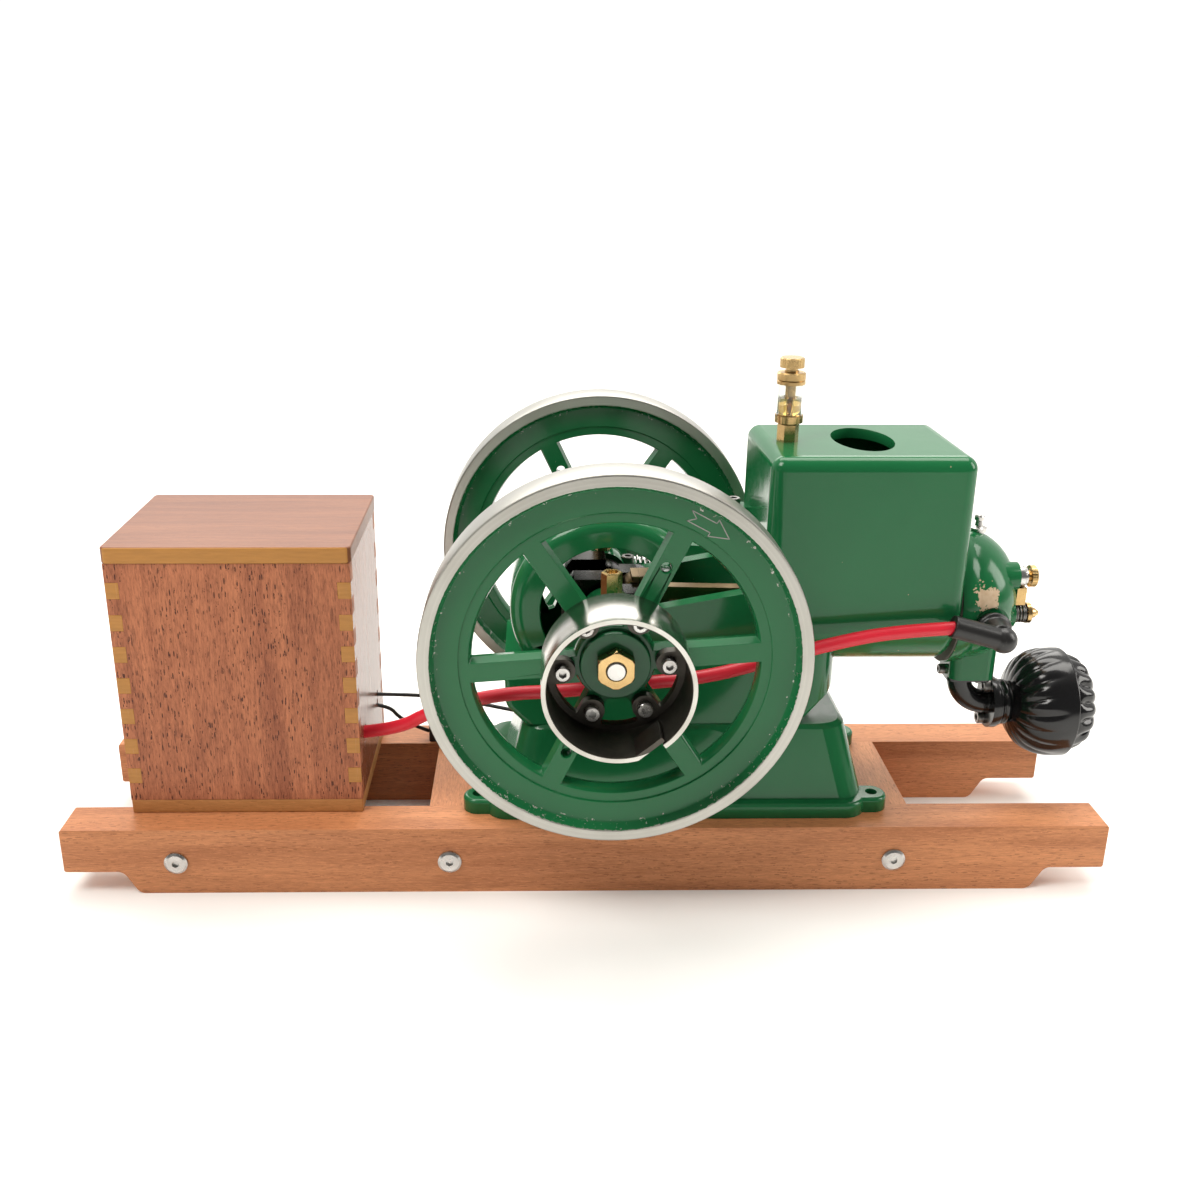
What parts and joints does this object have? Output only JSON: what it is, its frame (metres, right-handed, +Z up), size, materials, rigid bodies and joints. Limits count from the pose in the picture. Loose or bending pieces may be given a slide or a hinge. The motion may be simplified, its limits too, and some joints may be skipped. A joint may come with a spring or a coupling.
{
  "type": "model stationary engine",
  "caption": "Desk-size hopper-cooled petrol engine with two spoked flywheels, black bulb muffler and timber ignition box on a mahogany skid.",
  "frame": {"origin": "on the ground, at the middle of the skid's length and of the crankshaft's width", "axes": "+X along the rails from the ignition box to the muffler, +Y from the starter pulley side to the far side, +Z up"},
  "size_m": [0.4, 0.1824, 0.1997],
  "materials": {
    "rail_wood": "oiled",
    "box_wood": "oiled",
    "side_wood": "varnished",
    "lid_wood": "varnished",
    "ply_wood": "oiled",
    "green_enamel": "gloss enamel",
    "steel": "satin",
    "cast_iron": "machined",
    "brass": "satin",
    "bronze": "machined",
    "black_enamel": "gloss enamel",
    "black_rubber": "matt",
    "red_rubber": "satin",
    "black_wire": "satin",
    "black_plastic": "matt",
    "cell_sleeve": "gloss",
    "gasket": "matt",
    "glass": "clear",
    "copper": "satin",
    "spring_steel": "blackened"
  },
  "bodies": {
    "skid": {"front_rail": "rail_wood", "back_rail": "rail_wood", "cross_members": "rail_wood", "rail_screws": "steel", "box_front_panel": "box_wood", "box_back_panel": "box_wood", "box_left_panel": "side_wood", "box_right_panel": "side_wood", "box_base": "ply_wood", "battery_pack": "cell_sleeve", "ignition_module": "black_plastic", "sub_base": "green_enamel", "fuel_tank": "brass", "fuel_pipe": "copper", "crankcase": "green_enamel", "bearing_caps": "green_enamel", "bearing_bushes": "bronze", "bearing_oil_cups": "brass", "cap_screws": "steel", "crank_guard": "green_enamel", "water_hopper": "green_enamel", "cylinder_liner": "cast_iron", "head_gasket": "gasket", "cylinder_head": "green_enamel", "mixer_body": "brass", "intake_valve_spring": "spring_steel", "exhaust_valve_spring": "spring_steel", "valve_gear_pins": "steel", "spark_plug": "steel", "spark_plug_boot": "black_rubber", "priming_cup": "brass", "exhaust_elbow": "black_enamel", "muffler_front_shell": "black_enamel", "muffler_rear_shell": "black_enamel", "oiler_body": "brass", "oiler_glass": "glass", "oiler_cap": "brass", "ht_lead": "red_rubber", "sensor_wires": "black_wire", "hall_sensor": "black_plastic"},
    "crank": {"crankshaft": "steel", "crank_gear": "steel", "near_flywheel": "green_enamel", "far_flywheel": "green_enamel", "hub_nuts": "brass", "starter_pulley": "steel", "pulley_screws": "steel"},
    "rod": {"connecting_rod": "brass", "rod_cap": "brass"},
    "piston_group": {"piston": "cast_iron", "piston_rings": "steel", "wrist_pin": "steel"},
    "cam": {"cam_gear": "steel"},
    "rocker": {"rocker_arm": "brass"},
    "pushrod_body": {"pushrod": "steel"},
    "exhaust_valve_body": {"exhaust_valve": "steel"},
    "intake_valve_body": {"intake_valve": "brass"},
    "needle": {"needle_valve": "brass"},
    "oiler_knob_body": {"oiler_knob": "brass"},
    "lid": {"box_lid": "lid_wood"}
  },
  "joints": [
    {"name": "crank_spin", "type": "hinge", "parent": "skid", "child": "crank", "pos_m": [0.0077, 0, 0.1066], "axis": [0, 1, 0], "continuous": true},
    {"name": "rod_pivot", "type": "hinge", "parent": "crank", "child": "rod", "pos_m": [0.0207, 0, 0.1066], "axis": [0, 1, 0], "continuous": true},
    {"name": "cam_spin", "type": "hinge", "parent": "skid", "child": "cam", "pos_m": [0.0237, 0, 0.093], "axis": [0, 1, 0], "continuous": true},
    {"name": "piston_slide", "type": "slide", "parent": "skid", "child": "piston_group", "axis": [1, 0, 0], "range_m": [-0.026, 0]},
    {"name": "rocker_swing", "type": "hinge", "parent": "skid", "child": "rocker", "pos_m": [0.168, 0.024, 0.093], "axis": [0, 0, -1], "range_deg": [0, 8], "stiffness_Nm_per_rad": 0.05, "deforming": ["exhaust_valve_spring"]},
    {"name": "pushrod_slide", "type": "slide", "parent": "skid", "child": "pushrod_body", "axis": [1, 0, 0], "range_m": [0, 0.0018]},
    {"name": "exhaust_valve_slide", "type": "slide", "parent": "skid", "child": "exhaust_valve_body", "axis": [1, 0, 0], "range_m": [-0.0018, 0], "deforming": ["exhaust_valve_spring"]},
    {"name": "intake_valve_slide", "type": "slide", "parent": "skid", "child": "intake_valve_body", "axis": [1, 0, 0], "range_m": [-0.0018, 0], "stiffness_N_per_m": 200, "deforming": ["intake_valve_spring"]},
    {"name": "needle_turn", "type": "hinge", "parent": "skid", "child": "needle", "pos_m": [0.168, -0.012, 0.118], "axis": [1, 0, 0], "range_deg": [-360, 360]},
    {"name": "oiler_knob_turn", "type": "hinge", "parent": "skid", "child": "oiler_knob_body", "pos_m": [0.075, -0.0017, 0.197], "axis": [0, 0, 1], "range_deg": [-360, 360]},
    {"name": "lid_lift", "type": "slide", "parent": "skid", "child": "lid", "axis": [0, 0, 1], "range_m": [0, 0.05]}
  ],
  "couplings": [
    {"joint": "rod_pivot", "follows": "crank_spin", "ratio": -1},
    {"joint": "cam_spin", "follows": "crank_spin", "ratio": -0.5},
    {"joint": "pushrod_slide", "follows": "rocker_swing", "m_per_rad": 0.012},
    {"joint": "exhaust_valve_slide", "follows": "rocker_swing", "m_per_rad": -0.012}
  ]
}
